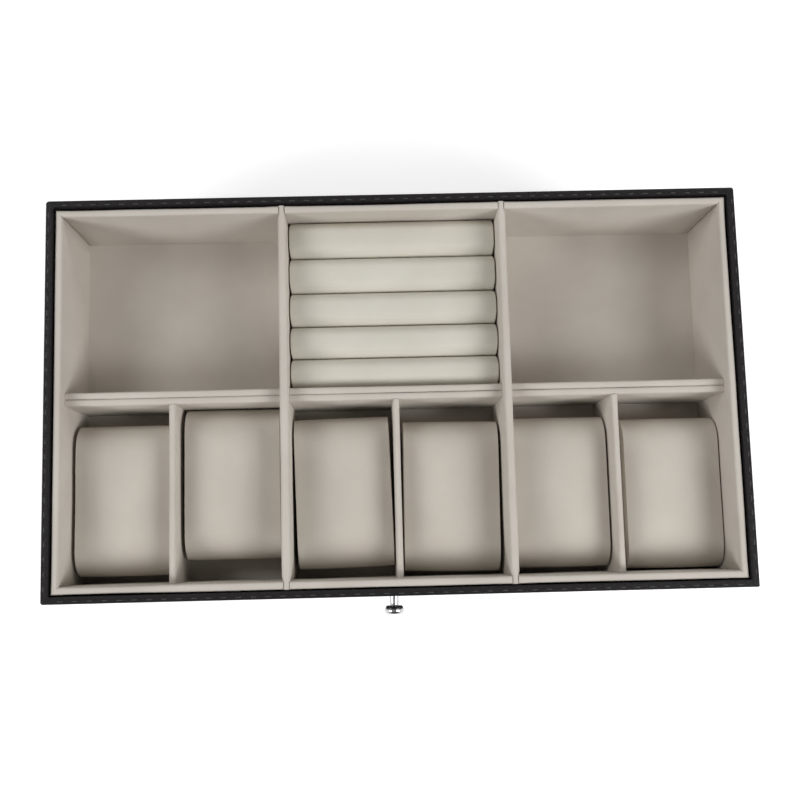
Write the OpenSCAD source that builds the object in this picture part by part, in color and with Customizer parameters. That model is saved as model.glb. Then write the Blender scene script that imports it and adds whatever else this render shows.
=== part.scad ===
// Open-topped watch box: a lined tray over one pull-out drawer.
// Millimetres. +X is right, +Y is back, +Z is up. The origin is in the middle of the underside.

/* [Case] */
// Width of the case
case_w = 335.8; // [310:0.2:400]
// Depth of the case, front to back
case_d = 193.7; // [184:0.1:240]
// Thickness of the case's wall boards
board_t = 2.5; // [2:0.1:4]
// Thickness of the leather-look wrap
wrap_t = 0.5; // [0.3:0.1:0.8]
// Outer radius of the case's upright corners at the back
back_corner_r = 1.6; // [1:0.1:3]
// Outer radius of the case's upright corners at the front
front_corner_r = 0.8; // [0.6:0.1:3]
// How far the wrap turns down inside the rim
turn_in = 12; // [5:1:30]
// Thickness of the felt under the base
felt_t = 1; // [0.5:0.1:2]
// How far the felt stops short of the case's edge
felt_inset = 4; // [2:0.5:12]
// Thickness of the base panel
base_t = 4; // [3:0.5:8]
// Thickness of the shelf between the drawer and the tray
shelf_t = 4; // [3:0.5:8]

/* [Tray] */
// Depth of the compartments below the rim
tray_depth = 49.5; // [44:0.5:70]
// Thickness of the tray's floor board
tray_floor_t = 1.5; // [1:0.1:3]
// How far the lined walls stop below the rim
liner_drop = 1.5; // [0.5:0.1:4]
// Gap between the case's wall and a liner
liner_gap = 0.7; // [0.3:0.1:1.5]
// How far the cross walls and slot dividers stop below the liners
divider_drop = 7; // [0:0.5:10]
// Thickness of the side and back liners
liner_t = 3.7; // [2:0.1:4.5]
// Thickness of the front liners
front_liner_t = 3.8; // [2:0.1:5]
// Thickness of the two long dividers
long_divider_t = 4.2; // [3:0.1:6]
// How much a long divider narrows at each side where it passes between the liners
divider_shoulder = 0.55; // [0.2:0.05:1]
// Clear width of the middle column
middle_column_w = 103.2; // [98:0.1:112]
// Clear depth of the back row
back_row_d = 85.3; // [70:0.05:88]
// Thickness of each board of the cross wall
cross_board_t = 3.35; // [2:0.05:5]
// Thickness of the short slot dividers
slot_divider_t = 3.2; // [2:0.1:5]
// How far the left slot divider stands right of its column's middle
left_split_shift = -0.45; // [-2:0.05:2]
// How far the middle slot divider stands right of its column's middle
middle_split_shift = -0.05; // [-2:0.05:2]
// How far the right slot divider stands right of its column's middle
right_split_shift = -1.7; // [-4:0.05:2]

/* [Watch pillows] */
// Least gap between a pillow and its slot's walls, and the gap under it
pillow_gap = 0.35; // [0.3:0.05:1]
// Free width of the narrowest slot beside its pillow
pillow_play = 1.2; // [1:0.05:4]
// Free length of a slot beside its pillow
pillow_room = 10.75; // [4:0.05:20]
// Height of a pillow
pillow_h = 31.5; // [24:0.5:41]
// Radius of a pillow's front and back ends at the top
pillow_end_r = 12; // [8:0.5:18]
// Radius of a pillow's side edges at the top
pillow_edge_r = 2.5; // [1:0.5:12]
// Radius along the bottom of a pillow
pillow_foot_r = 5; // [2:0.5:8]
// Place of pillow 1 in its slot: right and back, each 0 to 1
pillow_1_at = [0.72, 0.3]; // [0:0.01:1]
// Place of pillow 2 in its slot
pillow_2_at = [0.55, 1]; // [0:0.01:1]
// Place of pillow 3 in its slot
pillow_3_at = [0.5, 0.44]; // [0:0.01:1]
// Place of pillow 4 in its slot
pillow_4_at = [0.49, 0.15]; // [0:0.01:1]
// Place of pillow 5 in its slot
pillow_5_at = [0.24, 0.22]; // [0:0.01:1]
// Place of pillow 6 in its slot
pillow_6_at = [1, 0.05]; // [0:0.01:1]
// Turn of pillow 3, which lies a little askew to the left
pillow_3_turn = 1.3; // [0:0.1:1.5]
// Turn of pillow 4, which lies a little askew to the right
pillow_4_turn = -0.7; // [-1.5:0.1:0]

/* [Ring pad] */
// Height of the foam block under the ring rolls
ring_foam_h = 17.5; // [5:0.5:24]
// Thickness of the board between foam and rolls
ring_board_t = 2; // [1:0.1:3]
// Height of a ring roll
roll_h = 17.2; // [12:0.1:20]
// How much slimmer each roll is than the one behind it
roll_step = 0.8; // [0:0.1:1]
// Gap between neighbouring rolls, and beside the pad
roll_gap = 0.3; // [0.2:0.05:0.6]
// Radius along the bottom of a roll
roll_foot_r = 3; // [1:0.5:5]
// Width of the flat along the top of a roll
roll_flat = 0.4; // [0.2:0.1:2]

/* [Drawer] */
// Height of the drawer bay
bay_h = 60; // [50:1:90]
// Thickness of the bay's floor lining
bay_floor_t = 0.8; // [0.5:0.1:2]
// Thickness of the bay's side and back linings
bay_lining_t = 1.5; // [1:0.1:3]
// Gap at each side of the drawer and above its front
drawer_gap = 0.8; // [0.5:0.1:2]
// Running gap under the drawer
drawer_lift = 0.3; // [0.2:0.05:0.5]
// Gap behind the closed drawer
drawer_back_gap = 0.5; // [0.3:0.1:3]
// Thickness of the drawer front, wrap included
drawer_front_t = 8; // [6:0.5:12]
// Thickness of the drawer's sides and back
drawer_side_t = 4; // [3:0.5:8]
// Height of the drawer's sides above its bottom
drawer_side_h = 44; // [30:1:46]
// Thickness of the drawer's bottom board
drawer_bottom_t = 2.5; // [2:0.5:5]
// Thickness of the lining in the drawer
drawer_lining_t = 2; // [1:0.1:3]
// Thickness of the drawer's floor lining
drawer_floor_t = 1; // [0.5:0.1:2]
// How far the drawer's linings stop below its sides
drawer_lining_drop = 1; // [0:0.5:5]

/* [Knob] */
// How far the knob stands right of the drawer's middle
knob_shift = -1.9; // [-10:0.1:10]
// Distance of the head's widest ring from the end of the stem
knob_belly_at = 2.4; // [1:0.1:2.8]
// Diameter of the knob's head
knob_head_d = 10.6; // [8:0.1:16]
// Thickness of the knob's head
knob_head_t = 4.9; // [3:0.1:8]
// Diameter of the head's front face and of its back
knob_face_d = 6.9; // [6:0.1:8]
// Diameter of the knob's stem
knob_stem_d = 5; // [4.5:0.1:6]
// Length of the knob's stem
knob_stem_l = 9.5; // [9:0.1:14]
// Diameter of the knob's foot
knob_foot_d = 7.4; // [6:0.1:10]
// Thickness of the knob's foot
knob_foot_t = 1.2; // [0.8:0.1:2]
// Diameter of the knob's screw
screw_d = 3; // [2.5:0.1:3.4]
// How deep the screw reaches into the knob
screw_reach = 7; // [4:0.5:8]
// Diameter of the screw's head
screw_head_d = 6; // [5:0.1:7]
// Thickness of the screw's head
screw_head_t = 2; // [1.5:0.1:3]
// Diameter of the washer
washer_d = 8; // [7.5:0.1:10]
// Thickness of the washer
washer_t = 0.8; // [0.5:0.1:1.5]
// Clearance round the screw in the drawer front and washer
screw_clearance = 0.25; // [0.1:0.05:0.5]
// Clearance round the screw in the knob
thread_clearance = 0.05; // [0.02:0.01:0.1]
// Clearance round the washer in the drawer's front lining
washer_clearance = 1; // [0.5:0.1:2]
// Length of the knob's hole past the end of the screw
hole_spare = 0.5; // [0.3:0.1:1]

/* [Hidden] */
PILLOWS = 6;
ROLLS = 5;
leather = "#2e2d2f";
velvet = "#c8c0b6";
roll_velvet = "#cfcabd";
raw_board = "#a98a63";
felt = "#1c1c1e";
foam = "#d9d3c4";
metal = "#c9c9cc";

// Case walls and levels
wall_t = board_t + 2 * wrap_t;
board_out = wrap_t;
board_in = wrap_t + board_t;
base_z = felt_t;
bay_z = base_z + base_t;
shelf_z = bay_z + bay_h;
tray_floor_z = shelf_z + shelf_t;
tray_z = tray_floor_z + tray_floor_t;
rim_z = tray_z + tray_depth;
board_top_z = rim_z - wrap_t;
liner_top_z = rim_z - liner_drop;
liner_h = liner_top_z - tray_z;
divider_h = liner_h - divider_drop;

// Inside edges of the tray
liner_x = case_w / 2 - wall_t - liner_gap;
liner_back_y = case_d / 2 - wall_t - liner_gap;
liner_front_y = -liner_back_y;
room_x = liner_x - liner_t;
room_back_y = liner_back_y - liner_t;
room_front_y = liner_front_y + front_liner_t;
cross_back_y = room_back_y - back_row_d;
cross_seam_y = cross_back_y - cross_board_t;
cross_front_y = cross_seam_y - cross_board_t;
divider_in_x = middle_column_w / 2;
divider_out_x = divider_in_x + long_divider_t;
tongue_in_x = divider_in_x + divider_shoulder;
tongue_out_x = divider_out_x - divider_shoulder;

// Left and right edge of each column, from left to right
COLUMNS = [[-room_x, -divider_out_x], [-divider_in_x, divider_in_x], [divider_out_x, room_x]];
SPLIT_SHIFTS = [left_split_shift, middle_split_shift, right_split_shift];
function split_x(c) = (COLUMNS[c][0] + COLUMNS[c][1]) / 2 + SPLIT_SHIFTS[c];

// Left and right edge of each watch slot, from left to right
SLOTS = [for (c = [0:2]) each [
    [COLUMNS[c][0], split_x(c) - slot_divider_t / 2],
    [split_x(c) + slot_divider_t / 2, COLUMNS[c][1]]
]];
slot_l = cross_front_y - room_front_y;

// Left and right end of each column's back and front liners, on their room side and on their wall side
ROOM_ENDS = [[-room_x, -tongue_out_x], [-tongue_in_x, tongue_in_x], [tongue_out_x, room_x]];
WALL_ENDS = [[-liner_x, -tongue_out_x], [-tongue_in_x, tongue_in_x], [tongue_out_x, liner_x]];

// Pillows, as wide as the narrowest slot lets them be
pillow_w = min([for (s = SLOTS) s[1] - s[0]]) - pillow_play;
pillow_l = slot_l - pillow_room;
pillow_z = tray_z + pillow_gap;
pillow_top_r = min(pillow_end_r, pillow_h / 2);
PILLOW_PLACES = [pillow_1_at, pillow_2_at, pillow_3_at, pillow_4_at, pillow_5_at, pillow_6_at];
PILLOW_TURNS = [0, 0, pillow_3_turn, pillow_4_turn, 0, 0];
function between(low, high, share) = low + (high - low) * share;
function pillow_x(i) = between(
    SLOTS[i][0] + pillow_gap + pillow_w / 2, SLOTS[i][1] - pillow_gap - pillow_w / 2, PILLOW_PLACES[i][0]);
function pillow_y(i) = between(
    room_front_y + pillow_gap + pillow_l / 2, cross_front_y - pillow_gap - pillow_l / 2, PILLOW_PLACES[i][1]);

// Ring pad, in the middle column of the back row
ring_w = middle_column_w - 2 * roll_gap;
ring_board_z = tray_z + ring_foam_h;
roll_z = ring_board_z + ring_board_t;
roll_mean_w = (back_row_d - (ROLLS + 1) * roll_gap) / ROLLS;
function roll_w(i) = roll_mean_w + roll_step * ((ROLLS - 1) / 2 - i);
function roll_top_r(i) = min((roll_w(i) - roll_flat) / 2, roll_h / 2);
function roll_back_y(i) = i == 0 ? room_back_y - roll_gap : roll_back_y(i - 1) - roll_w(i - 1) - roll_gap;

// Drawer bay and drawer
bay_x = case_w / 2 - board_in - bay_lining_t;
bay_back_y = case_d / 2 - board_in - bay_lining_t;
front_y = -case_d / 2;
drawer_x = bay_x - drawer_gap;
drawer_z = bay_z + bay_floor_t + drawer_lift;
drawer_front_top_z = shelf_z - drawer_gap;
drawer_front_h = drawer_front_top_z - drawer_z;
drawer_y = front_y + drawer_front_t;
drawer_back_y = bay_back_y - drawer_back_gap;
drawer_floor_z = drawer_z + drawer_bottom_t;
drawer_side_top_z = drawer_floor_z + drawer_side_h;
drawer_lining_z = drawer_floor_z + drawer_floor_t;
drawer_lining_h = drawer_side_top_z - drawer_lining_drop - drawer_lining_z;
drawer_in_x = drawer_x - drawer_side_t;
drawer_in_back_y = drawer_back_y - drawer_side_t;

// Knob
knob_z = drawer_z + drawer_front_h / 2;
knob_l = knob_stem_l + knob_head_t;
knob_belly_l = knob_stem_l + knob_belly_at;
screw_hole_d = screw_d + 2 * screw_clearance;

// A box between two corners
module block(low, high) {
    translate(low) cube(high - low);
}

// A rectangle that stands on the x axis, with one radius at its top corners and one at its bottom corners
module round_section(w, h, top_r, foot_r) {
    polygon([
        [-w / 2, foot_r], [-w / 2 + foot_r, 0], [w / 2 - foot_r, 0], [w / 2, foot_r],
        [w / 2, h - top_r], [w / 2 - top_r, h], [-w / 2 + top_r, h], [-w / 2, h - top_r]
    ]);
    for (x = [-1, 1]) {
        translate([x * (w / 2 - top_r), h - top_r]) circle(top_r, $fn = 64);
        translate([x * (w / 2 - foot_r), foot_r]) circle(foot_r, $fn = 48);
    }
}

// Case
module felt_base_cover() {
    color(felt)
        block([-case_w / 2 + felt_inset, -case_d / 2 + felt_inset, 0],
              [case_w / 2 - felt_inset, case_d / 2 - felt_inset, felt_t]);
}

module base_panel() {
    color(raw_board)
        block([-case_w / 2 + board_out, -case_d / 2 + board_out, base_z],
              [case_w / 2 - board_out, case_d / 2 - board_out, bay_z]);
}

module side_panel(side) {
    color(raw_board) mirror([side < 0 ? 1 : 0, 0, 0])
        block([case_w / 2 - board_in, -case_d / 2 + board_out, bay_z],
              [case_w / 2 - board_out, case_d / 2 - board_out, board_top_z]);
}

module back_panel() {
    color(raw_board)
        block([-case_w / 2 + board_in, case_d / 2 - board_in, bay_z],
              [case_w / 2 - board_in, case_d / 2 - board_out, board_top_z]);
}

module front_panel() {
    color(raw_board)
        block([-case_w / 2 + board_in, -case_d / 2 + board_out, shelf_z],
              [case_w / 2 - board_in, -case_d / 2 + board_in, board_top_z]);
}

module shelf_panel() {
    color(raw_board)
        block([-case_w / 2 + board_in, -case_d / 2 + board_in, shelf_z],
              [case_w / 2 - board_in, case_d / 2 - board_in, tray_floor_z]);
}

// One skin over all four walls, turned in over the rim, with the drawer's window in front
module outer_wrap() {
    color(leather) difference() {
        translate([0, -case_d / 2, base_z]) linear_extrude(rim_z - base_z)
            round_section(case_w, case_d, back_corner_r, front_corner_r);
        block([-case_w / 2 + board_out, -case_d / 2 + board_out, base_z - 1],
              [case_w / 2 - board_out, case_d / 2 - board_out, rim_z - turn_in]);
        difference() {
            block([-case_w / 2 + board_out, -case_d / 2 + board_out, rim_z - turn_in - 1],
                  [case_w / 2 - board_out, case_d / 2 - board_out, board_top_z]);
            block([-case_w / 2 + board_in, -case_d / 2 + board_in, rim_z - turn_in - 2],
                  [case_w / 2 - board_in, case_d / 2 - board_in, rim_z]);
        }
        block([-case_w / 2 + wall_t, -case_d / 2 + wall_t, rim_z - turn_in - 1],
              [case_w / 2 - wall_t, case_d / 2 - wall_t, rim_z + 1]);
        block([-bay_x, front_y - 1, bay_z], [bay_x, 0, shelf_z]);
    }
}

module bay_floor_lining() {
    color(velvet)
        block([-bay_x, -case_d / 2 + board_out, bay_z], [bay_x, bay_back_y, bay_z + bay_floor_t]);
}

module bay_side_lining(side) {
    color(velvet) mirror([side < 0 ? 1 : 0, 0, 0])
        block([bay_x, -case_d / 2 + board_out, bay_z], [bay_x + bay_lining_t, bay_back_y, shelf_z]);
}

module bay_back_lining() {
    color(velvet)
        block([-bay_x - bay_lining_t, bay_back_y, bay_z],
              [bay_x + bay_lining_t, bay_back_y + bay_lining_t, shelf_z]);
}

// Tray
module tray_floor() {
    color(velvet)
        block([-case_w / 2 + board_in, -case_d / 2 + board_in, tray_floor_z],
              [case_w / 2 - board_in, case_d / 2 - board_in, tray_z]);
}

// A lined board on any outline, which stands on the tray's floor
module tray_board(outline) {
    color(velvet) translate([0, 0, tray_z]) linear_extrude(liner_h) polygon(outline);
}

// A lower wall between the liners
module low_wall(x0, x1, y0, y1) {
    color(velvet) block([x0, y0, tray_z], [x1, y1, tray_z + divider_h]);
}

// The liners of each column reach the tongues of the long dividers and are mitred into the side liners
module end_liner(c, room_y, wall_y) {
    tray_board([
        [ROOM_ENDS[c][0], room_y], [ROOM_ENDS[c][1], room_y],
        [WALL_ENDS[c][1], wall_y], [WALL_ENDS[c][0], wall_y]
    ]);
}

module back_liner(c) {
    end_liner(c, room_back_y, liner_back_y);
}

module front_liner(c) {
    end_liner(c, room_front_y, liner_front_y);
}

module side_liner(side) {
    mirror([side < 0 ? 1 : 0, 0, 0]) tray_board([
        [room_x, room_front_y], [room_x, room_back_y], [liner_x, liner_back_y], [liner_x, liner_front_y]
    ]);
}

// A long divider fills the room front to back, and a tongue at each end passes between the liners
module long_divider(side) {
    mirror([side < 0 ? 1 : 0, 0, 0]) tray_board([
        [divider_in_x, room_front_y], [divider_in_x, room_back_y],
        [tongue_in_x, room_back_y], [tongue_in_x, liner_back_y],
        [tongue_out_x, liner_back_y], [tongue_out_x, room_back_y],
        [divider_out_x, room_back_y], [divider_out_x, room_front_y],
        [tongue_out_x, room_front_y], [tongue_out_x, liner_front_y],
        [tongue_in_x, liner_front_y], [tongue_in_x, room_front_y]
    ]);
}

module cross_wall_back(c) {
    low_wall(COLUMNS[c][0], COLUMNS[c][1], cross_seam_y, cross_back_y);
}

module cross_wall_front(c) {
    low_wall(COLUMNS[c][0], COLUMNS[c][1], cross_front_y, cross_seam_y);
}

module slot_divider(c) {
    low_wall(split_x(c) - slot_divider_t / 2, split_x(c) + slot_divider_t / 2, room_front_y, cross_front_y);
}

// Ring pad
module ring_foam_block() {
    color(foam)
        block([-ring_w / 2, cross_back_y + roll_gap, tray_z],
              [ring_w / 2, room_back_y - roll_gap, ring_board_z]);
}

module ring_board() {
    color(raw_board)
        block([-ring_w / 2, cross_back_y + roll_gap, ring_board_z],
              [ring_w / 2, room_back_y - roll_gap, roll_z]);
}

// Ring rolls are counted from the back
module ring_roll(i) {
    w = roll_w(i);
    color(roll_velvet)
        translate([-ring_w / 2, roll_back_y(i) - w / 2, roll_z])
            rotate([90, 0, 90]) linear_extrude(ring_w)
                round_section(w, roll_h, roll_top_r(i), roll_foot_r);
}

// Watch pillows are counted from the left
module watch_pillow(i) {
    color(velvet)
        translate([pillow_x(i), pillow_y(i), pillow_z]) rotate([0, 0, PILLOW_TURNS[i]])
            intersection() {
                rotate([90, 0, 90]) translate([0, 0, -pillow_w / 2]) linear_extrude(pillow_w)
                    round_section(pillow_l, pillow_h, pillow_top_r, pillow_foot_r);
                rotate([90, 0, 0]) translate([0, 0, -pillow_l / 2]) linear_extrude(pillow_l)
                    round_section(pillow_w, pillow_h, pillow_edge_r, pillow_foot_r);
            }
}

// Drawer
module at_knob(y) {
    translate([knob_shift, y, knob_z]) rotate([90, 0, 0]) children();
}

module drawer_front_block(inset, back_y) {
    block([-drawer_x + inset, front_y + inset, drawer_z + inset],
          [drawer_x - inset, back_y, drawer_front_top_z - inset]);
}

module drawer_front_hole() {
    at_knob(drawer_y + 1) cylinder(h = drawer_front_t + 2, d = screw_hole_d, $fn = 48);
}

module drawer_front_board() {
    color(raw_board) difference() {
        drawer_front_block(wrap_t, drawer_y);
        drawer_front_hole();
    }
}

module drawer_front_wrap() {
    color(leather) difference() {
        drawer_front_block(0, drawer_y);
        drawer_front_block(wrap_t, drawer_y + 1);
        drawer_front_hole();
    }
}

module drawer_side(side) {
    color(velvet) mirror([side < 0 ? 1 : 0, 0, 0])
        block([drawer_in_x, drawer_y, drawer_floor_z], [drawer_x, drawer_back_y, drawer_side_top_z]);
}

module drawer_back() {
    color(velvet)
        block([-drawer_in_x, drawer_in_back_y, drawer_floor_z],
              [drawer_in_x, drawer_back_y, drawer_side_top_z]);
}

module drawer_bottom() {
    color(raw_board) block([-drawer_x, drawer_y, drawer_z], [drawer_x, drawer_back_y, drawer_floor_z]);
}

module drawer_floor_lining() {
    color(velvet)
        block([-drawer_in_x, drawer_y, drawer_floor_z], [drawer_in_x, drawer_in_back_y, drawer_lining_z]);
}

// A lining board that stands on the drawer's floor lining
module drawer_lining(x0, x1, y0, y1) {
    block([x0, y0, drawer_lining_z], [x1, y1, drawer_lining_z + drawer_lining_h]);
}

module drawer_side_lining(side) {
    color(velvet) mirror([side < 0 ? 1 : 0, 0, 0])
        drawer_lining(drawer_in_x - drawer_lining_t, drawer_in_x, drawer_y, drawer_in_back_y);
}

module drawer_back_lining() {
    color(velvet)
        drawer_lining(-drawer_in_x + drawer_lining_t, drawer_in_x - drawer_lining_t,
                      drawer_in_back_y - drawer_lining_t, drawer_in_back_y);
}

module drawer_front_lining() {
    color(velvet) difference() {
        drawer_lining(-drawer_in_x + drawer_lining_t, drawer_in_x - drawer_lining_t,
                      drawer_y, drawer_y + drawer_lining_t);
        at_knob(drawer_y + drawer_lining_t + 1)
            cylinder(h = drawer_lining_t + 2, d = washer_d + 2 * washer_clearance, $fn = 48);
    }
}

// Half outline of the knob, foot at 0, with a belly round the head
function knob_outline() = concat(
    [[0, 0], [knob_foot_d / 2, 0], [knob_foot_d / 2, knob_foot_t], [knob_stem_d / 2, knob_foot_t],
     [knob_stem_d / 2, knob_stem_l]],
    [for (a = [0:10:90]) [between(knob_face_d / 2, knob_head_d / 2, sin(a)),
                          between(knob_belly_l, knob_stem_l, cos(a))]],
    [for (a = [10:10:90]) [between(knob_face_d / 2, knob_head_d / 2, cos(a)),
                           between(knob_belly_l, knob_l, sin(a))]],
    [[0, knob_l]]
);

module knob() {
    color(metal) at_knob(front_y) difference() {
        rotate_extrude($fn = 64) polygon(knob_outline());
        translate([0, 0, -1])
            cylinder(h = screw_reach + hole_spare + 1, d = screw_d + 2 * thread_clearance, $fn = 48);
    }
}

module knob_washer() {
    color(metal) at_knob(drawer_y + washer_t) difference() {
        cylinder(h = washer_t, d = washer_d, $fn = 48);
        translate([0, 0, -1]) cylinder(h = washer_t + 2, d = screw_hole_d, $fn = 48);
    }
}

module knob_screw() {
    color(metal) {
        at_knob(drawer_y + washer_t + screw_head_t) cylinder(h = screw_head_t, d = screw_head_d, $fn = 48);
        at_knob(drawer_y + washer_t)
            cylinder(h = washer_t + drawer_front_t + screw_reach, d = screw_d, $fn = 48);
    }
}

felt_base_cover();
base_panel();
side_panel(-1);  // left_side_panel
side_panel(1);  // right_side_panel
back_panel();
front_panel();
shelf_panel();
outer_wrap();
bay_floor_lining();
bay_side_lining(-1);  // bay_left_lining
bay_side_lining(1);  // bay_right_lining
bay_back_lining();
tray_floor();
side_liner(-1);  // left_liner
side_liner(1);  // right_liner
back_liner(0);  // back_liner_left
back_liner(1);  // back_liner_middle
back_liner(2);  // back_liner_right
front_liner(0);  // front_liner_left
front_liner(1);  // front_liner_middle
front_liner(2);  // front_liner_right
long_divider(-1);  // left_divider
long_divider(1);  // right_divider
cross_wall_back(0);  // cross_wall_back_left
cross_wall_back(1);  // cross_wall_back_middle
cross_wall_back(2);  // cross_wall_back_right
cross_wall_front(0);  // cross_wall_front_left
cross_wall_front(1);  // cross_wall_front_middle
cross_wall_front(2);  // cross_wall_front_right
slot_divider(0);  // slot_divider_left
slot_divider(1);  // slot_divider_middle
slot_divider(2);  // slot_divider_right
ring_foam_block();
ring_board();
for (i = [1:ROLLS]) ring_roll(i - 1);
for (i = [1:PILLOWS]) watch_pillow(i - 1);
drawer_front_board();
drawer_front_wrap();
drawer_side(-1);  // drawer_left_side
drawer_side(1);  // drawer_right_side
drawer_back();
drawer_bottom();
drawer_floor_lining();
drawer_side_lining(-1);  // drawer_left_lining
drawer_side_lining(1);  // drawer_right_lining
drawer_back_lining();
drawer_front_lining();
knob();
knob_screw();
knob_washer();
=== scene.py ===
import math

import bpy
from mathutils import Matrix, Vector, noise


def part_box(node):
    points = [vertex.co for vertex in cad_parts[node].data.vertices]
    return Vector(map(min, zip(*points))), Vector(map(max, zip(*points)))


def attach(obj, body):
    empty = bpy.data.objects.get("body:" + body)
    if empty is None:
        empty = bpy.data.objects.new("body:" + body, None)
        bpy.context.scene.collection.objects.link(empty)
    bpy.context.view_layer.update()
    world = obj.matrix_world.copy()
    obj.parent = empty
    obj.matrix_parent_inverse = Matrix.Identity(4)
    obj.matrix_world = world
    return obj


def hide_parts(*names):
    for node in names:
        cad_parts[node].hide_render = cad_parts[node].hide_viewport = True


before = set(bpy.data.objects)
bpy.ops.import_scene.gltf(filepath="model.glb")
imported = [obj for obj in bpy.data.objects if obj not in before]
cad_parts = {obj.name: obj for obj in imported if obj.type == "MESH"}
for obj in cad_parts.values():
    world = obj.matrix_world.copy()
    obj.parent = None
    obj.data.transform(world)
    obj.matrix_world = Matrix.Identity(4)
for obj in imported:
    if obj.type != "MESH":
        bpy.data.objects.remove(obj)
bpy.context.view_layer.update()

# Camera: held nearly level above the open tray, a little to the front of its middle and a little to its left.
# A 45 mm lens on a 36 mm wide sensor, turned by a few degrees, with the small shift of a cropped frame.
MM = 0.001
camera_data = bpy.data.cameras.new("overhead_camera")
camera_data.lens = 45.0
camera_data.sensor_width = 36.0
camera_data.shift_x = 0.0213
camera_data.shift_y = 0.0282
camera_data.clip_start = 0.01
camera = bpy.data.objects.new("overhead_camera", camera_data)
camera.location = Vector((-12.65, -70.07, 591.66)) * MM
camera.rotation_euler = [math.radians(turn) for turn in (6.635, -0.558, -1.408)]
bpy.context.scene.collection.objects.link(camera)
bpy.context.scene.camera = camera


# Case boards: medium-density fibreboard, 2.5 mm walls and 4 mm base and shelf, sawn square and glued edge to
# edge. The wrap and the linings hide them, so they keep the frame's shape and get their cut-board finish.
def linear(hex_colour):
    """sRGB hex colour to linear RGBA."""
    channels = [int(hex_colour[at:at + 2], 16) / 255 for at in (1, 3, 5)]
    return [c / 12.92 if c <= 0.04045 else ((c + 0.055) / 1.055) ** 2.4 for c in channels] + [1.0]


def add_node(tree, kind, settings=None, values=None, links=None):
    """Adds a shader node with its settings, its input values and the sockets that feed it."""
    made = tree.nodes.new(kind)
    for key, value in (settings or {}).items():
        setattr(made, key, value)
    for key, value in (values or {}).items():
        made.inputs[key].default_value = value
    for key, socket in (links or {}).items():
        tree.links.new(socket, made.inputs[key])
    return made


def new_finish(name, **values):
    """A material with its node tree and shader; the values are set on the shader's own sockets."""
    finish = bpy.data.materials.new(name)
    finish.use_nodes = True
    tree = finish.node_tree
    shader = tree.nodes["Principled BSDF"]
    for key, value in values.items():
        shader.inputs[key.replace("_", " ")].default_value = value
    return finish, tree, shader


def blend_colours(tree, factor, low, dark, high, light):
    """A colour that goes from dark to light as the factor goes from low to high."""
    ramp = add_node(tree, "ShaderNodeValToRGB", links={"Fac": factor})
    first, last = ramp.color_ramp.elements
    first.position, last.position = low, high
    first.color, last.color = linear(dark), linear(light)
    return ramp.outputs["Color"]


def bump(tree, shader, height, strength, depth):
    """Roughens the shader's surface by a height pattern of a real depth."""
    made = add_node(tree, "ShaderNodeBump", values={"Strength": strength, "Distance": depth},
                    links={"Height": height})
    tree.links.new(made.outputs["Normal"], shader.inputs["Normal"])


def finish_nodes(finish, *names):
    """Gives CAD nodes their finish."""
    for name in names:
        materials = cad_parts[name].data.materials
        materials.clear()
        materials.append(finish)


# Fibreboard is pressed wood fibre: dull tan, with darker fibre flecks about 1 mm long on a faintly furry cut.
raw_board, tree, shader = new_finish("sawn_fibreboard", Roughness=0.85)
place = add_node(tree, "ShaderNodeTexCoord").outputs["Object"]
flecks = add_node(tree, "ShaderNodeTexNoise", values={"Scale": 900.0, "Detail": 4.0},
                  links={"Vector": place})
tree.links.new(blend_colours(tree, flecks.outputs["Fac"], 0.35, "#8e7250", 0.65, "#b3946c"),
               shader.inputs["Base Color"])
bump(tree, shader, flecks.outputs["Fac"], 0.4, 0.15 * MM)
finish_nodes(raw_board, "base_panel", "left_side_panel", "right_side_panel", "back_panel", "front_panel",
             "shelf_panel", "ring_board", "drawer_front_board", "drawer_bottom")


# Felt under the base: one sheet of black needle felt, 1 mm thick, glued on so that the box slides on
# furniture. It is cut with a knife a little inside the edge of the base.
needle_felt, tree, shader = new_finish("black_needle_felt", Roughness=0.95, Sheen_Weight=0.3)
place = add_node(tree, "ShaderNodeTexCoord").outputs["Object"]
fibres = add_node(tree, "ShaderNodeTexNoise", values={"Scale": 1600.0, "Detail": 6.0},
                  links={"Vector": place})
tree.links.new(blend_colours(tree, fibres.outputs["Fac"], 0.3, "#141416", 0.7, "#2a2a2d"),
               shader.inputs["Base Color"])
bump(tree, shader, fibres.outputs["Fac"], 0.6, 0.3 * MM)
finish_nodes(needle_felt, "felt_base_cover")


# Outer wrap: one sheet of black leather-look vinyl, 0.5 mm thick on a knitted back, glued round the walls.
# It is folded over the rim and down inside it, under the base, and back round the drawer's window.
def deselect_all():
    if bpy.context.object and bpy.context.object.mode != "OBJECT":
        bpy.ops.object.mode_set(mode="OBJECT")
    bpy.ops.object.select_all(action="DESELECT")


def only(piece):
    """Makes a piece the only one selected, and the active one."""
    deselect_all()
    piece.select_set(True)
    bpy.context.view_layer.objects.active = piece


def new_block(name, low, high):
    """A block between two corners, with its place in its mesh."""
    deselect_all()
    low, high = Vector(low), Vector(high)
    bpy.ops.mesh.primitive_cube_add(size=1, location=(low + high) / 2)
    piece = bpy.context.object
    piece.name = name
    piece.scale = high - low
    bpy.ops.object.transform_apply(location=True, rotation=True, scale=True)
    return piece


def open_piece(piece, mode):
    """Goes to edit mode and back with nothing selected, so that code can pick."""
    only(piece)
    bpy.ops.object.mode_set(mode="EDIT")
    bpy.ops.mesh.select_mode(type=mode)
    bpy.ops.mesh.select_all(action="DESELECT")
    bpy.ops.object.mode_set(mode="OBJECT")


def pick_edges(piece, test):
    """Opens a piece with the edges selected whose two ends pass the test."""
    open_piece(piece, "EDGE")
    points = piece.data.vertices
    for edge in piece.data.edges:
        edge.select = bool(test(*[points[end].co for end in edge.vertices]))
    bpy.ops.object.mode_set(mode="EDIT")


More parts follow.
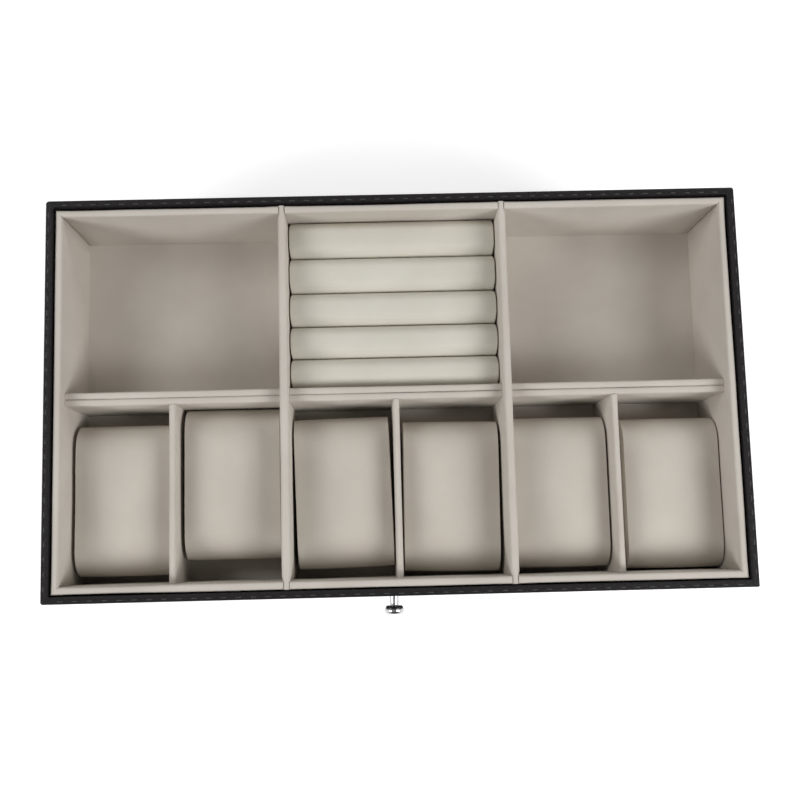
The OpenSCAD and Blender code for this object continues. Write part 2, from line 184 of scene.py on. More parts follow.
def pick_faces(piece, test):
    """Opens a piece with the faces selected whose centre and normal pass the test."""
    open_piece(piece, "FACE")
    for face in piece.data.polygons:
        face.select = bool(test(face.center, face.normal))
    bpy.ops.object.mode_set(mode="EDIT")


def close_piece():
    bpy.ops.object.mode_set(mode="OBJECT")


def use_modifier(piece, kind, **settings):
    """Adds a modifier with its settings and applies it."""
    only(piece)
    made = piece.modifiers.new(kind.lower(), kind)
    for key, value in settings.items():
        setattr(made, key, value)
    bpy.ops.object.modifier_apply(modifier=made.name)


def shade(piece, degrees=40):
    only(piece)
    bpy.ops.object.shade_smooth_by_angle(angle=math.radians(degrees))


def dress(piece, finish, body, slot, *nodes):
    """Gives a finished piece its material, its body and the CAD nodes that it stands for; the slot is not
    used.
    """
    piece.data.materials.clear()
    piece.data.materials.append(finish)
    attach(piece, body)
    if nodes:
        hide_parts(*nodes)


def join(name, pieces):
    """Joins like pieces into one."""
    only(pieces[0])
    for piece in pieces:
        piece.select_set(True)
    bpy.ops.object.join()
    bpy.context.object.name = name
    return bpy.context.object


# Embossed vinyl: black, with pebbles about 0.9 mm across that are satin on top and duller in their creases;
# the colour also darkens into the creases as painted shade.
leather, tree, shader = new_finish("embossed_black_vinyl", Specular_IOR_Level=0.2)
place = add_node(tree, "ShaderNodeTexCoord").outputs["Object"]
wander = add_node(tree, "ShaderNodeTexNoise", values={"Scale": 600.0, "Detail": 2.0}, links={"Vector": place})
bent = add_node(tree, "ShaderNodeVectorMath", {"operation": "MULTIPLY_ADD"}, {1: [0.7 * MM] * 3},
                {0: wander.outputs["Color"], 2: place})
pebbles = add_node(tree, "ShaderNodeTexVoronoi", {"feature": "SMOOTH_F1"},
                   {"Scale": 1100.0, "Smoothness": 0.4}, {"Vector": bent.outputs["Vector"]})
creases = add_node(tree, "ShaderNodeMapRange", values={"From Min": 0.25, "From Max": 0.75},
                   links={"Value": pebbles.outputs["Distance"]}).outputs["Result"]
# Painted shade: the base colour goes darker from the pebble tops down into the creases.
tree.links.new(blend_colours(tree, creases, 0.0, "#211e1f", 1.0, "#131112"), shader.inputs["Base Color"])
satin = add_node(tree, "ShaderNodeMapRange", values={"To Min": 0.42, "To Max": 0.62},
                 links={"Value": creases})
tree.links.new(satin.outputs["Result"], shader.inputs["Roughness"])
bump(tree, shader, creases, 0.5, -0.1 * MM)

case_low, case_high = [Vector(corner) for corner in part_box("outer_wrap")]
panel_low, panel_high = [Vector(corner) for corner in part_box("front_panel")]
bay_low, bay_high = [Vector(corner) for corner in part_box("bay_floor_lining")]
wrap_t = panel_low.y - case_low.y
wall_t = panel_high.y - case_low.y + wrap_t
rim_z = case_high.z
turn_in = 12 * MM
turn_under = 8 * MM
fold_r = 0.8 * MM
corner_rs = {(-1, 1): 1.5 * MM, (1, 1): 1.2 * MM, (1, -1): 0.6 * MM, (-1, -1): 1.2 * MM}
inner_corner_r = 0.8 * MM
corner_steps = 5

# The walls outside and the turned-in lip inside, with the same number of corner points, bridged over the rim
walls = new_block("outer_wrap_vinyl", case_low, case_high)
lip_low = Vector((case_low.x + wall_t, case_low.y + wall_t, rim_z - turn_in))
lip = new_block("lip", lip_low, case_high - Vector((wall_t, wall_t, 0)))
for shell in (walls, lip):
    for (side_x, side_y), outer_r in corner_rs.items():
        pick_edges(shell, lambda a, b: abs(a.z - b.z) > 1 * MM and a.x * side_x > 0 and a.y * side_y > 0)
        bpy.ops.mesh.bevel(offset=outer_r if shell is walls else inner_corner_r, segments=corner_steps)
        close_piece()
    pick_faces(shell, lambda centre, normal: abs(normal.z) > 0.9)
    bpy.ops.mesh.delete(type="ONLY_FACE")
    close_piece()
pick_faces(lip, lambda centre, normal: True)
bpy.ops.mesh.flip_normals()
close_piece()
wrap = join("outer_wrap_vinyl", [walls, lip])
pick_edges(wrap, lambda a, b: min(a.z, b.z) > rim_z - 0.1 * MM)
bpy.ops.mesh.bridge_edge_loops()
close_piece()

# The fold under the base
pick_edges(wrap, lambda a, b: max(a.z, b.z) < case_low.z + 0.1 * MM)
bpy.ops.mesh.extrude_region_move()
bpy.ops.transform.resize(value=(1 - turn_under / case_high.x, 1 - turn_under / case_high.y, 1))
close_piece()

# The drawer's window, cut in the front and folded back round the edges of the boards
window = [(bay_low.x, 0), (bay_high.x, 0), (bay_low.z, 2), (panel_low.z, 2)]
for at, axis in window:
    pick_faces(wrap, lambda centre, normal: normal.y < -0.9 and centre.y < case_low.y + wrap_t)
    cut = Vector((0, 0, 0))
    cut[axis] = 1
    bpy.ops.mesh.bisect(plane_co=cut * at, plane_no=cut)
    close_piece()
pick_faces(wrap, lambda centre, normal: normal.y < -0.9 and centre.y < case_low.y + wrap_t
           and abs(centre.x) < bay_high.x and bay_low.z < centre.z < panel_low.z)
bpy.ops.mesh.delete(type="FACE")
close_piece()
pick_edges(wrap, lambda a, b: max(a.y, b.y) < case_low.y + 0.1 * MM
           and all(abs(p.x) < bay_high.x + 0.1 * MM and bay_low.z - 0.1 * MM < p.z < panel_low.z + 0.1 * MM
                   for p in (a, b)))
bpy.ops.mesh.extrude_region_move(TRANSFORM_OT_translate={"value": (0, wall_t, 0)})
close_piece()
use_modifier(wrap, "BEVEL", width=fold_r, segments=4, limit_method="ANGLE", angle_limit=math.radians(50),
             use_clamp_overlap=False)

# The seam line: a shallow valley along the rim that the stitches pull into the vinyl
stitch_insets = {"back": 2.4 * MM, "front": 1.35 * MM, "left": 1.35 * MM, "right": 1.35 * MM}
valley_half = 0.45 * MM
valley_depth = 0.18 * MM
valley_middle = 30 * MM
rim_sides = {"back": (1, case_high.y, -1), "front": (1, case_low.y, 1),
             "left": (0, case_low.x, 1), "right": (0, case_high.x, -1)}
for side, (axis, edge_at, inward) in rim_sides.items():
    line_at = edge_at + inward * stitch_insets[side]
    along = 1 - axis
    for offset in (-valley_half, 0, valley_half):
        pick_faces(wrap, lambda centre, normal: normal.z > 0.99 and centre.z > rim_z - 0.1 * MM
                   and abs(centre[axis] - edge_at) < wall_t and abs(centre[along]) < valley_middle)
        cut = Vector((0, 0, 0))
        cut[axis] = 1
        bpy.ops.mesh.bisect(plane_co=cut * (line_at + offset), plane_no=cut)
        close_piece()
    for point in wrap.data.vertices:
        if point.co.z > rim_z - 0.01 * MM and abs(point.co[axis] - line_at) < 0.05 * MM:
            point.co.z -= valley_depth
use_modifier(wrap, "SOLIDIFY", thickness=wrap_t, offset=-1)
shade(wrap)
dress(wrap, leather, "case", "leather", "outer_wrap")


# Rim stitching: one row of lock stitch in grey polyester thread round the rim, just inside its outer edge.
# Each visible stitch is about 3 mm of thread that dips into its needle holes at both ends.
stitch_l = 3.2 * MM
stitch_r = 0.3 * MM
stitch_pitch = 6.9 * MM
row_end_gap = 6.0 * MM

# Twisted polyester: dark grey with a soft shine and a ply that shows as fine slanting ridges, 0.4 mm apart,
# with painted shade in the grooves between them.
thread, tree, shader = new_finish("grey_polyester_thread", Roughness=0.45, Sheen_Weight=0.1)
place = add_node(tree, "ShaderNodeTexCoord").outputs["Object"]
ply = add_node(tree, "ShaderNodeTexWave", {"bands_direction": "DIAGONAL"}, {"Scale": 800.0},
               {"Vector": place})
# Painted shade and highlight: the colour is darker in the grooves between the plies and lighter on their
# crests.
tree.links.new(blend_colours(tree, ply.outputs["Fac"], 0.0, "#232223", 1.0, "#3b393a"),
               shader.inputs["Base Color"])
bump(tree, shader, ply.outputs["Fac"], 0.5, 0.08 * MM)


def one_stitch(name, middle, along, out):
    """A stitch of thread, lying along one direction and bowed out of the surface it is sewn through."""
    deselect_all()
    bpy.ops.mesh.primitive_uv_sphere_add(segments=8, ring_count=7, radius=1)
    stitch = bpy.context.object
    stitch.name = name
    across = Vector(along).cross(Vector(out))
    for point in stitch.data.vertices:
        reach, width, rise = point.co.z, point.co.x, point.co.y
        bow = 1 - reach * reach
        point.co = (Vector(middle) + Vector(along) * (reach * stitch_l / 2) + across * (width * stitch_r)
                    + Vector(out) * (rise * stitch_r + bow * stitch_r * 0.6 - stitch_r * 0.5))
    bpy.ops.object.mode_set(mode="EDIT")
    bpy.ops.mesh.select_all(action="SELECT")
    bpy.ops.mesh.normals_make_consistent(inside=False)
    bpy.ops.object.mode_set(mode="OBJECT")
    bpy.ops.object.shade_smooth()
    return stitch


def stitch_row(name, start, end, out, body):
    """A row of stitches from one point to another, copied from the first."""
    start, end = Vector(start), Vector(end)
    along = (end - start).normalized()
    count = int((end - start).length / stitch_pitch) + 1
    spare = ((end - start).length - (count - 1) * stitch_pitch) / 2
    first = one_stitch(name, start + along * spare, along, out)
    row = [first]
    for step in range(1, count):
        copy = first.copy()
        copy.data = first.data.copy()
        copy.data.transform(Matrix.Translation(along * (step * stitch_pitch)))
        bpy.context.scene.collection.objects.link(copy)
        row.append(copy)
    seam = join(name, row)
    dress(seam, thread, body, "leather")
    return seam


for side, (axis, edge_at, inward) in rim_sides.items():
    along = 1 - axis
    start, end = Vector((0, 0, rim_z - valley_depth)), Vector((0, 0, rim_z - valley_depth))
    start[axis] = end[axis] = edge_at + inward * stitch_insets[side]
    start[along] = case_low[along] + row_end_gap
    end[along] = case_high[along] - row_end_gap
    stitch_row("rim_stitches_" + side, start, end, (0, 0, 1), "case")


# Velvet linings: thin grey boards covered in short-pile velvet, folded over every edge and glued behind.
# They line the drawer bay and the tray's floor, and the edges are hidden or butt against their neighbours.

# Short-pile velvet: warm grey, matt, a little lighter where the pile lies flat and greener at a low angle.
def pile_velvet(name, dark, light, rim):
    finish, tree, shader = new_finish(name, Roughness=0.92, Sheen_Weight=0.07, Sheen_Roughness=0.45,
                                      Sheen_Tint=linear(rim), Specular_IOR_Level=0.2)
    place = add_node(tree, "ShaderNodeTexCoord").outputs["Object"]
    brushed = add_node(tree, "ShaderNodeTexNoise", values={"Scale": 28.0, "Detail": 3.0, "Roughness": 0.55},
                       links={"Vector": place})
    nap = add_node(tree, "ShaderNodeTexNoise", values={"Scale": 1900.0, "Detail": 3.0},
                   links={"Vector": place})
    mixed = add_node(tree, "ShaderNodeMath", {"operation": "MULTIPLY_ADD"}, {1: 0.35},
                     {0: nap.outputs["Fac"], 2: brushed.outputs["Fac"]})
    tree.links.new(blend_colours(tree, mixed.outputs["Value"], 0.45, dark, 0.9, light),
                   shader.inputs["Base Color"])
    bump(tree, shader, nap.outputs["Fac"], 0.35, 0.12 * MM)
    return finish


velvet = pile_velvet("warm_grey_velvet", "#c4bdb4", "#cec8bf", "#b6bfb6")
finish_nodes(velvet, "bay_floor_lining", "bay_left_lining", "bay_right_lining", "bay_back_lining",
             "tray_floor")


# Tray walls: boards nearly 4 mm thick in the same velvet, glued to the case a hair below its rim. Back and
# front boards are mitred into the side boards, and their inner ends butt against the long dividers' tongues.
fold_soft_r = 1.15 * MM
wave_l = 45 * MM
wave_h = 0.22 * MM
wave_end_l = 4 * MM
cut_spacing = 8 * MM
room_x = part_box("left_liner")[1][0]
room_back_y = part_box("back_liner_middle")[0][1]
room_front_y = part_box("front_liner_middle")[1][1]


def move_points(piece, test, by):
    """Moves the points of a piece that pass the test."""
    open_piece(piece, "VERT")
    for point in piece.data.vertices:
        point.select = bool(test(point.co))
    bpy.ops.object.mode_set(mode="EDIT")
    bpy.ops.transform.translate(value=by)
    close_piece()


def board_block(node):
    """A block in a CAD board's place, with the direction of its length."""
    low, high = [Vector(corner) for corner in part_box(node)]
    size = high - low
    return new_block(node + "_covered", low, high), low, high, max(range(3), key=lambda axis: size[axis])


def cover_board(board, low, high, length, radius=fold_soft_r, wave=wave_h):
    """Rounds a board's upper edges, where the velvet folds over, and makes its cover slightly uneven."""
    size = high - low
    pick_edges(board, lambda a, b: abs(a[length] - b[length]) > size[length] / 2)
    bpy.ops.mesh.subdivide(number_cuts=max(2, int(size[length] / cut_spacing)))
    close_piece()
    pick_edges(board, lambda a, b: min(a.z, b.z) > high.z - 0.01 * MM
               and abs(a[length] - b[length]) > 0.9 * (a - b).length)
    bpy.ops.mesh.bevel(offset=radius, segments=5, clamp_overlap=False)
    close_piece()
    thin = min(range(3), key=lambda axis: size[axis])
    middle = (low + high) / 2
    for point in board.data.vertices:
        inner = min(point.co[length] - low[length], high[length] - point.co[length]) / wave_end_l
        swell = wave * min(1, max(0, inner)) * (noise.noise(point.co / wave_l) - 0.5)
        if abs(point.co[thin] - middle[thin]) > size[thin] / 4:
            point.co[thin] += math.copysign(1, point.co[thin] - middle[thin]) * swell
        if point.co.z > high.z - 1.2 * radius:
            point.co.z += swell
    shade(board, 60)


def wrapped_board(node, body):
    """A velvet-covered board with square ends."""
    board, low, high, length = board_block(node)
    cover_board(board, low, high, length)
    dress(board, velvet, body, "velvet", node)


for node in ("left_liner", "right_liner"):
    board, low, high, length = board_block(node)
    for wall_y, room_y in ((low.y, room_front_y), (high.y, room_back_y)):
        move_points(board, lambda at: abs(at.x) < abs(room_x) + 0.1 * MM and abs(at.y - wall_y) < 0.1 * MM,
                    (0, room_y - wall_y, 0))
    cover_board(board, low, high, length)
    dress(board, velvet, "case", "velvet", node)
for node in ("back_liner_left", "back_liner_right", "front_liner_left", "front_liner_right"):
    board, low, high, length = board_block(node)
    outside = math.copysign(1, low.x + high.x)
    far_x = max(abs(low.x), abs(high.x))
    room_y = room_back_y if low.y > 0 else room_front_y
    move_points(board, lambda at: abs(at.x) > far_x - 0.1 * MM and abs(at.y - room_y) < 0.1 * MM,
                (outside * (abs(room_x) - far_x), 0, 0))
    cover_board(board, low, high, length)
    dress(board, velvet, "case", "velvet", node)
for node in ("back_liner_middle", "front_liner_middle"):
    wrapped_board(node, "case")


# Dividers: two long boards as high as the walls, whose narrowed ends pass between the wall boards. The three
# cross walls of two boards back to back, and the three short boards that split the front row, are 7 mm lower.
shoulder_l = 2.5 * MM
tongue_half = (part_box("back_liner_middle")[0][0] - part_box("back_liner_left")[1][0]) / 2
for node in ("left_divider", "right_divider"):
    board, low, high, length = board_block(node)
    for room_y, step in ((room_front_y, shoulder_l), (room_back_y, -shoulder_l)):
        for cut_y in (room_y, room_y + step):
            pick_faces(board, lambda centre, normal: True)
            bpy.ops.mesh.bisect(plane_co=(0, cut_y, 0), plane_no=(0, 1, 0))
            close_piece()
    middle_x = (low.x + high.x) / 2
    narrowed = (high.x - low.x) / 2 - tongue_half
    for side in (-1, 1):
        move_points(board, lambda at: (at.x - middle_x) * side > 0
                    and not room_front_y + 0.1 * MM < at.y < room_back_y - 0.1 * MM, (-side * narrowed, 0, 0))
    cover_board(board, low, high, length)
    dress(board, velvet, "case", "velvet", node)
for node in ("cross_wall_back_left", "cross_wall_back_middle", "cross_wall_back_right",
             "cross_wall_front_left", "cross_wall_front_middle", "cross_wall_front_right",
             "slot_divider_left", "slot_divider_middle", "slot_divider_right"):
    wrapped_board(node, "case")


# Ring pad: five foam rolls covered in cream velvet, side by side on a card over a foam block. Rings stand in
# the grooves between them. Each roll is a wrapped foam rod, flat underneath and covered at both ends.
foam, tree, shader = new_finish("open_cell_foam", Roughness=0.9)
place = add_node(tree, "ShaderNodeTexCoord").outputs["Object"]
cells = add_node(tree, "ShaderNodeTexVoronoi", values={"Scale": 1400.0}, links={"Vector": place})
# Painted shade: the colour is darker where the bump sinks, in the grooves between the foam cells.
tree.links.new(blend_colours(tree, cells.outputs["Distance"], 0.1, "#d9d3c4", 0.8, "#b8b09d"),
               shader.inputs["Base Color"])
bump(tree, shader, cells.outputs["Distance"], 0.6, -0.2 * MM)
finish_nodes(foam, "ring_foam_block")

roll_velvet = pile_velvet("cream_velvet", "#cecabe", "#d7d3c8", "#bcc2b0")
roll_shoulder_r = 5.5 * MM
roll_end_r = 0.5 * MM
roll_crown = 1.2 * MM
roll_scallop = 0.7 * MM
roll_end_ring = 2.5 * MM
roll_end_fall = 0.4 * MM
roll_wave_h = 0.3 * MM
roll_wave_l = 22 * MM


def ring_roll(node):
    low, high = [Vector(corner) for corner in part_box(node)]
    roll = new_block(node + "_covered", low, high - Vector((0, 0, roll_crown)))
    pick_edges(roll, lambda a, b: abs(a.x - b.x) > 10 * MM and min(a.z, b.z) > low.z + 5 * MM)
    bpy.ops.mesh.bevel(offset=roll_shoulder_r, segments=8)
    close_piece()
    pick_edges(roll, lambda a, b: abs(a.x - b.x) > 10 * MM)
    bpy.ops.mesh.subdivide(number_cuts=24)
    close_piece()
    pick_faces(roll, lambda centre, normal: abs(normal.x) > 0.9)
    bpy.ops.mesh.inset(thickness=roll_end_ring)
    close_piece()
    use_modifier(roll, "BEVEL", width=roll_end_r, segments=3, limit_method="ANGLE",
                 angle_limit=math.radians(50))
    middle = (low + high) / 2
    half = (high - low) / 2
    for point in roll.data.vertices:
        reach = abs(point.co.x - middle.x) / half.x
        side = (point.co.y - middle.y) / half.y
        top = max(0, (point.co.z - middle.z) / half.z)
        end_fall = max(0, reach - 0.85) / 0.15
        point.co.z += top * (roll_crown * (1 - side * side) - roll_end_fall * end_fall ** 2)
        point.co.z += top * roll_wave_h * (noise.noise(point.co / roll_wave_l) - 0.5)
        if reach > 0.97:
            point.co.x -= math.copysign(roll_scallop * side * side, point.co.x - middle.x)
    shade(roll, 60)
    dress(roll, roll_velvet, "case", "roll_velvet", node)


for number in range(1, 6):
    ring_roll("ring_roll_%d" % number)


# Watch pillows: a roll of soft foam in a velvet cover, with a flat panel sewn in at its left and right. The
# watch's strap is buckled round it. Each lies loose in its slot, so none lies quite like the next.
pillow_velvet = pile_velvet("pillow_velvet", "#c4bdb3", "#cdc7bd", "#b2bbae")
pillow_low, pillow_high = [Vector(corner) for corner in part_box("watch_pillow_1")]
pillow_half = (pillow_high - pillow_low) / 2
pillow_end_r = 11.5 * MM
pillow_crown = 2.4 * MM
pillow_side_bulge = 0.4 * MM
panel_ring = 2.1 * MM
panel_rings = 6
seam_fold_r = 0.5 * MM
cloth_scale = 8.0
cloth_frames = 20
cloth_pressure = 4.0
cover_wave_h = 0.5 * MM
cover_wave_l = 24 * MM

start_half = pillow_half - Vector((pillow_side_bulge, pillow_crown, pillow_crown))
pillow = new_block("pillow_pattern", -start_half, start_half)
pick_edges(pillow, lambda a, b: abs(a.x - b.x) > 10 * MM)
bpy.ops.mesh.bevel(offset=pillow_end_r, segments=12)
close_piece()
pick_edges(pillow, lambda a, b: abs(a.y - b.y) > 20 * MM)
bpy.ops.mesh.subdivide(number_cuts=15)
close_piece()
pick_edges(pillow, lambda a, b: abs(a.x - b.x) > 10 * MM)
bpy.ops.mesh.subdivide(number_cuts=17)
close_piece()
pick_faces(pillow, lambda centre, normal: abs(normal.x) > 0.9 and abs(centre.x) > start_half.x - 0.1 * MM)
for ring in range(panel_rings):
    bpy.ops.mesh.inset(thickness=panel_ring)
bpy.ops.mesh.poke()
close_piece()


def sewn_edge(at):
    """Whether a point of the pillow pattern lies on one of its two seams."""
    if abs(at.x) < start_half.x - 0.1 * MM:
        return False
    over_y = max(0, abs(at.y) - (start_half.y - pillow_end_r))
    over_z = max(0, abs(at.z) - (start_half.z - pillow_end_r))
    return math.hypot(over_y, over_z) > pillow_end_r - 0.5 * MM


# The cover is blown up as cloth held at its seams, and the swelling is then scaled to the foam's own crown
seams = pillow.vertex_groups.new(name="seams")
seams.add([point.index for point in pillow.data.vertices if sewn_edge(point.co)], 1.0, "ADD")
flat_cover = [point.co.copy() for point in pillow.data.vertices]
pillow.data.transform(Matrix.Scale(cloth_scale, 4))
only(pillow)
cloth = pillow.modifiers.new("cover", "CLOTH")
cloth.settings.use_pressure = True
cloth.settings.uniform_pressure_force = cloth_pressure
cloth.settings.tension_stiffness = 10
cloth.settings.compression_stiffness = 10
cloth.settings.bending_stiffness = 1
cloth.settings.vertex_group_mass = "seams"
cloth.settings.effector_weights.gravity = 0
for step in range(1, cloth_frames + 1):
    bpy.context.scene.frame_set(step)
bpy.ops.object.modifier_apply(modifier=cloth.name)
bpy.context.scene.frame_set(1)
pillow.data.transform(Matrix.Scale(1 / cloth_scale, 4))
moves = [point.co - was for point, was in zip(pillow.data.vertices, flat_cover)]
rise = max(abs(move.z) for move in moves)
for point, was, move in zip(pillow.data.vertices, flat_cover, moves):
    share = move * (pillow_crown / rise)
    share.x = max(-pillow_side_bulge, min(pillow_side_bulge, share.x))
    point.co = was + share
use_modifier(pillow, "BEVEL", width=seam_fold_r, segments=2, limit_method="ANGLE",
             angle_limit=math.radians(50))
use_modifier(pillow, "SUBSURF", levels=1, render_levels=1)
reach = [max(abs(point.co[axis]) for point in pillow.data.vertices) for axis in range(3)]
pillow.data.transform(Matrix.Diagonal([pillow_half[axis] / reach[axis] for axis in range(3)] + [1]))

pillow_turns = {3: math.radians(1.3), 4: math.radians(-0.7)}
for number in range(1, 7):
    node = "watch_pillow_%d" % number
    low, high = [Vector(corner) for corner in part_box(node)]
    copy = pillow.copy()
    copy.data = pillow.data.copy()
    copy.name = node + "_covered"
    bpy.context.scene.collection.objects.link(copy)
    mirrored = -1 if number % 2 else 1
    for point in copy.data.vertices:
        soft = noise.noise(Vector((point.co.x * mirrored, point.co.y, point.co.z)) / cover_wave_l
                           + Vector((number * 5.3, 0, 0)))
        point.co.z += cover_wave_h * (soft - 0.5) * (1 if point.co.z > 0 else 0)
    turn = Matrix.Rotation(pillow_turns.get(number, 0), 4, "Z")
    copy.data.transform(Matrix.Translation((low + high) / 2) @ turn)
    shade(copy, 60)
    dress(copy, pillow_velvet, "pillow_%d" % number, "pillow_velvet", node)
bpy.data.objects.remove(pillow)


# Drawer box: velvet-covered sides and back, nailed to a bottom board, with a velvet floor and lining boards.
# The front board is wrapped in the case's vinyl and sewn round its edge like the rim.
for node in ("drawer_left_side", "drawer_right_side", "drawer_back", "drawer_left_lining",
             "drawer_right_lining", "drawer_back_lining"):
    wrapped_board(node, "drawer")
finish_nodes(velvet, "drawer_floor_lining", "drawer_front_lining")

front_low, front_high = [Vector(corner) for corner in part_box("drawer_front_wrap")]
front_r = 1.0 * MM
knob_low, knob_high = [Vector(corner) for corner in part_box("knob")]
knob_at = (knob_low + knob_high) / 2
cover = new_block("drawer_front_vinyl", front_low, front_high)
pick_faces(cover, lambda centre, normal: normal.y > 0.9)
bpy.ops.mesh.delete(type="ONLY_FACE")
close_piece()
use_modifier(cover, "BEVEL", width=front_r, segments=4, limit_method="ANGLE", angle_limit=math.radians(50))
front_inset = 5.0 * MM
for axis, places in ((0, (front_low.x + front_inset, front_high.x - front_inset)),
                     (2, (front_low.z + front_inset, front_high.z - front_inset))):
    for place_at in places:
        for offset in (-valley_half, 0, valley_half):
            pick_faces(cover, lambda centre, normal: normal.y < -0.99)
            cut = Vector((0, 0, 0))
            cut[axis] = 1
            bpy.ops.mesh.bisect(plane_co=cut * (place_at + offset), plane_no=cut)
            close_piece()
low_x, high_x = front_low.x + front_inset, front_high.x - front_inset
low_z, high_z = front_low.z + front_inset, front_high.z - front_inset
for point in cover.data.vertices:
    at = point.co
    inside = low_x - 0.01 * MM < at.x < high_x + 0.01 * MM and low_z - 0.01 * MM < at.z < high_z + 0.01 * MM
    on_line = min(abs(at.x - low_x), abs(at.x - high_x), abs(at.z - low_z), abs(at.z - high_z)) < 0.05 * MM
    if at.y < front_low.y + 0.01 * MM and inside and on_line:
        at.y += valley_depth
use_modifier(cover, "SOLIDIFY", thickness=wrap_t, offset=-1)
shade(cover)
dress(cover, leather, "drawer", "leather", "drawer_front_wrap")
seam_y = front_low.y + valley_depth
seam_trim = 3 * MM
for name, start, end in (
        ("low", (low_x, seam_y, low_z), (high_x, seam_y, low_z)),
        ("high", (low_x, seam_y, high_z), (high_x, seam_y, high_z)),
        ("left", (low_x, seam_y, low_z), (low_x, seam_y, high_z)),
        ("right", (high_x, seam_y, low_z), (high_x, seam_y, high_z))):
    ends = Vector(end) - Vector(start)
    trim = ends.normalized() * seam_trim
    stitch_row("drawer_stitches_" + name, Vector(start) + trim, Vector(end) - trim, (0, -1, 0), "drawer")


# Knob: a mushroom turned from brass bar, 10.6 mm across, polished and nickel-chromium plated.
# It screws on from inside the drawer with a washer under the screw's head.
polished, tree, shader = new_finish("polished_chrome", Metallic=1.0)
shader.inputs["Base Color"].default_value = linear("#c4c3c5")
place = add_node(tree, "ShaderNodeTexCoord").outputs["Object"]
wear = add_node(tree, "ShaderNodeTexNoise", values={"Scale": 400.0, "Detail": 4.0}, links={"Vector": place})
gloss = add_node(tree, "ShaderNodeMapRange", values={"To Min": 0.08, "To Max": 0.2},
                 links={"Value": wear.outputs["Fac"]})
tree.links.new(gloss.outputs["Result"], shader.inputs["Roughness"])
finish_nodes(polished, "knob_screw", "knob_washer")

knob_r = (knob_high.x - knob_low.x) / 2
knob_l = knob_high.y - knob_low.y
foot_r, foot_t = 3.7 * MM, 1.2 * MM
stem_r, stem_l = 2.5 * MM, 9.5 * MM
face_r, belly_at = 3.45 * MM, 11.9 * MM
edge_r = 0.25 * MM
profile = [(0.0, foot_r), (foot_t - edge_r, foot_r), (foot_t, foot_r - edge_r), (foot_t, stem_r + edge_r),
           (foot_t + edge_r, stem_r), (stem_l, stem_r), (stem_l, face_r)]
for quarter, (from_at, to_at) in enumerate(((belly_at, stem_l), (belly_at, knob_l))):
    for step in range(1, 9):
        turn = math.radians(90 * step / 8)
        across, along = (math.sin(turn), math.cos(turn)) if quarter == 0 else (math.cos(turn), math.sin(turn))
        profile.append((from_at + (to_at - from_at) * along, face_r + (knob_r - face_r) * across))
profile += [(knob_l, face_r - edge_r), (knob_l, 0.0)]
deselect_all()
bpy.ops.mesh.primitive_cylinder_add(vertices=48, radius=profile[0][1], depth=1 * MM, end_fill_type="NGON")
turned = bpy.context.object
turned.name = "knob_plated"
turned.data.transform(Matrix.Translation((0, 0, 0.5 * MM)))
for (was_at, was_r), (at, radius) in zip(profile[1:-1], profile[2:]):
    pick_faces(turned, lambda centre, normal: normal.z > 0.9 and centre.z > was_at - 0.01 * MM
               and centre.to_2d().length < 0.1 * MM)
    bpy.ops.mesh.extrude_region_move(TRANSFORM_OT_translate={"value": (0, 0, at - was_at)})
    share = max(radius, 0.05 * MM) / was_r
    bpy.ops.transform.resize(value=(share, share, 1))
    close_piece()
forwards = Matrix.Rotation(math.pi / 2, 4, "X")
turned.data.transform(Matrix.Translation((knob_at.x, front_low.y, knob_at.z)) @ forwards)
pick_faces(turned, lambda centre, normal: True)
bpy.ops.mesh.remove_doubles(threshold=0.01 * MM)
bpy.ops.mesh.normals_make_consistent(inside=False)
close_piece()
shade(turned, 50)
dress(turned, polished, "drawer", "metal", "knob")


# Studio: a pale table in a white room, with five soft lamps hung round the box. The table glows to the
# camera's own rays, so it reads as white, and keeps the box's shadow. Metal and vinyl mirror a white room
# with a dimmer ceiling and a dark curtain at the front.
table_size = 6
table_drop = 0.2 * MM
deselect_all()
bpy.ops.mesh.primitive_plane_add(size=table_size, location=(0, 0, -table_drop))
table = bpy.context.object
table.name = "pale_table"
table_finish, tree, shader = new_finish("pale_table_top", Roughness=0.9)
shader.inputs["Base Color"].default_value = linear("#f2f2f2")
rays = add_node(tree, "ShaderNodeLightPath")
seen = add_node(tree, "ShaderNodeMath", {"operation": "MAXIMUM"}, links={0: rays.outputs["Is Camera Ray"],
                                                                        1: rays.outputs["Is Glossy Ray"]})
glow = add_node(tree, "ShaderNodeEmission", values={"Color": (1, 1, 1, 1)})
place = add_node(tree, "ShaderNodeTexCoord").outputs["Object"]
distance = add_node(tree, "ShaderNodeVectorMath", {"operation": "LENGTH"}, links={0: place})
own_white = add_node(tree, "ShaderNodeMapRange",
                     values={"From Min": 0.6, "From Max": 2.0, "To Min": 0.55, "To Max": 1.0},
                     links={"Value": distance.outputs["Value"]})
strength = add_node(tree, "ShaderNodeMath", {"operation": "MULTIPLY"},
                    links={0: seen.outputs["Value"], 1: own_white.outputs["Result"]})
tree.links.new(strength.outputs["Value"], glow.inputs["Strength"])
both = add_node(tree, "ShaderNodeAddShader", links={0: shader.outputs["BSDF"], 1: glow.outputs["Emission"]})
tree.links.new(both.outputs["Shader"], tree.nodes["Material Output"].inputs["Surface"])
table.data.materials.append(table_finish)

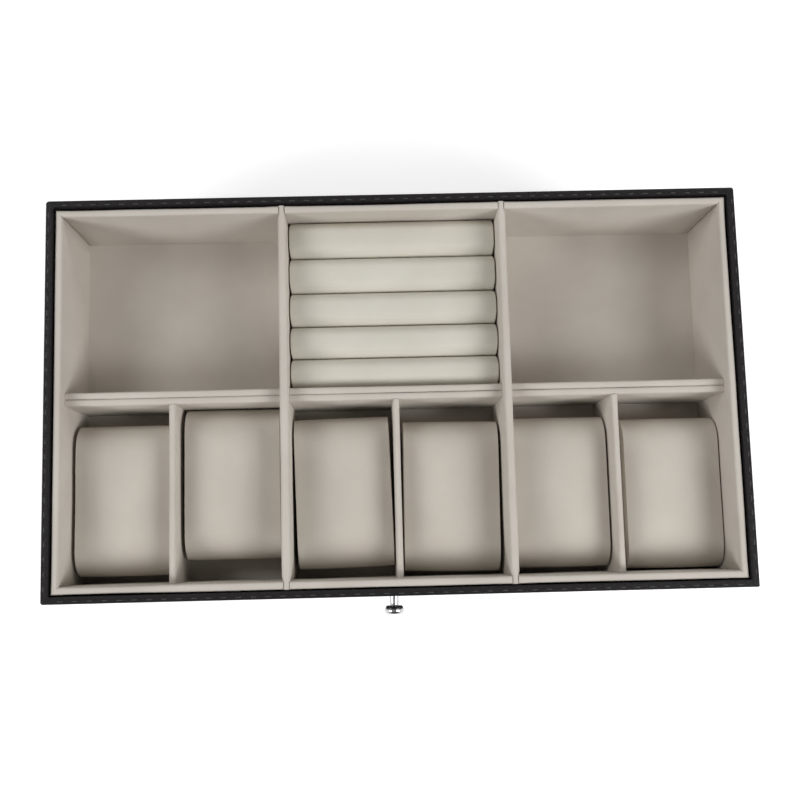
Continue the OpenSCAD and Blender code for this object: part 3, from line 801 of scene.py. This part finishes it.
world = bpy.data.worlds.new("soft_room")
world.use_nodes = True
bpy.context.scene.world = world
tree = world.node_tree
room = tree.nodes["Background"]
room.inputs["Color"].default_value = (1, 1, 1, 1)
rays = add_node(tree, "ShaderNodeLightPath")
level = add_node(tree, "ShaderNodeMapRange", values={"To Min": 0.1, "To Max": 1.0},
                 links={"Value": rays.outputs["Is Camera Ray"]})
direction = add_node(tree, "ShaderNodeTexCoord").outputs["Generated"]
parts = add_node(tree, "ShaderNodeSeparateXYZ", links={"Vector": direction})
ceiling = add_node(tree, "ShaderNodeMapRange",
                   values={"From Min": 0.35, "From Max": 0.9, "To Min": 1.0, "To Max": 0.3},
                   links={"Value": parts.outputs["Z"]})
curtain = add_node(tree, "ShaderNodeMapRange",
                   values={"From Min": -0.75, "From Max": -0.45, "To Min": 0.06, "To Max": 1.0},
                   links={"Value": parts.outputs["Y"]})
mirrored = add_node(tree, "ShaderNodeMath", {"operation": "MULTIPLY"},
                    links={0: ceiling.outputs["Result"], 1: curtain.outputs["Result"]})
shown = add_node(tree, "ShaderNodeMix", links={0: rays.outputs["Is Glossy Ray"], 2: level.outputs["Result"],
                                               3: mirrored.outputs["Value"]})
tree.links.new(shown.outputs[0], room.inputs["Strength"])

# Each lamp stands at its angle from straight up and its angle round the box, with its power in watts
lamp_away = 1.3
lamp_size = 0.45
box_middle = Vector((0, 0, 100 * MM))
for name, from_above, round_box, power in (
        ("right_front_low_lamp", 58, 330, 6.2), ("right_front_high_lamp", 42, 330, 4.6),
        ("left_front_lamp", 58, 210, 6.6), ("left_back_lamp", 42, 150, 3.7),
        ("right_back_lamp", 58, 60, 2.6)):
    lamp_data = bpy.data.lights.new(name, "AREA")
    lamp_data.size = lamp_size
    lamp_data.energy = power
    lamp = bpy.data.objects.new(name, lamp_data)
    tilt, turn = math.radians(from_above), math.radians(round_box)
    away = Vector((math.sin(tilt) * math.cos(turn), math.sin(tilt) * math.sin(turn), math.cos(tilt)))
    lamp.location = box_middle + away * lamp_away
    lamp.rotation_euler = away.to_track_quat("Z", "Y").to_euler()
    bpy.context.scene.collection.objects.link(lamp)
bpy.context.scene.view_settings.view_transform = "Standard"
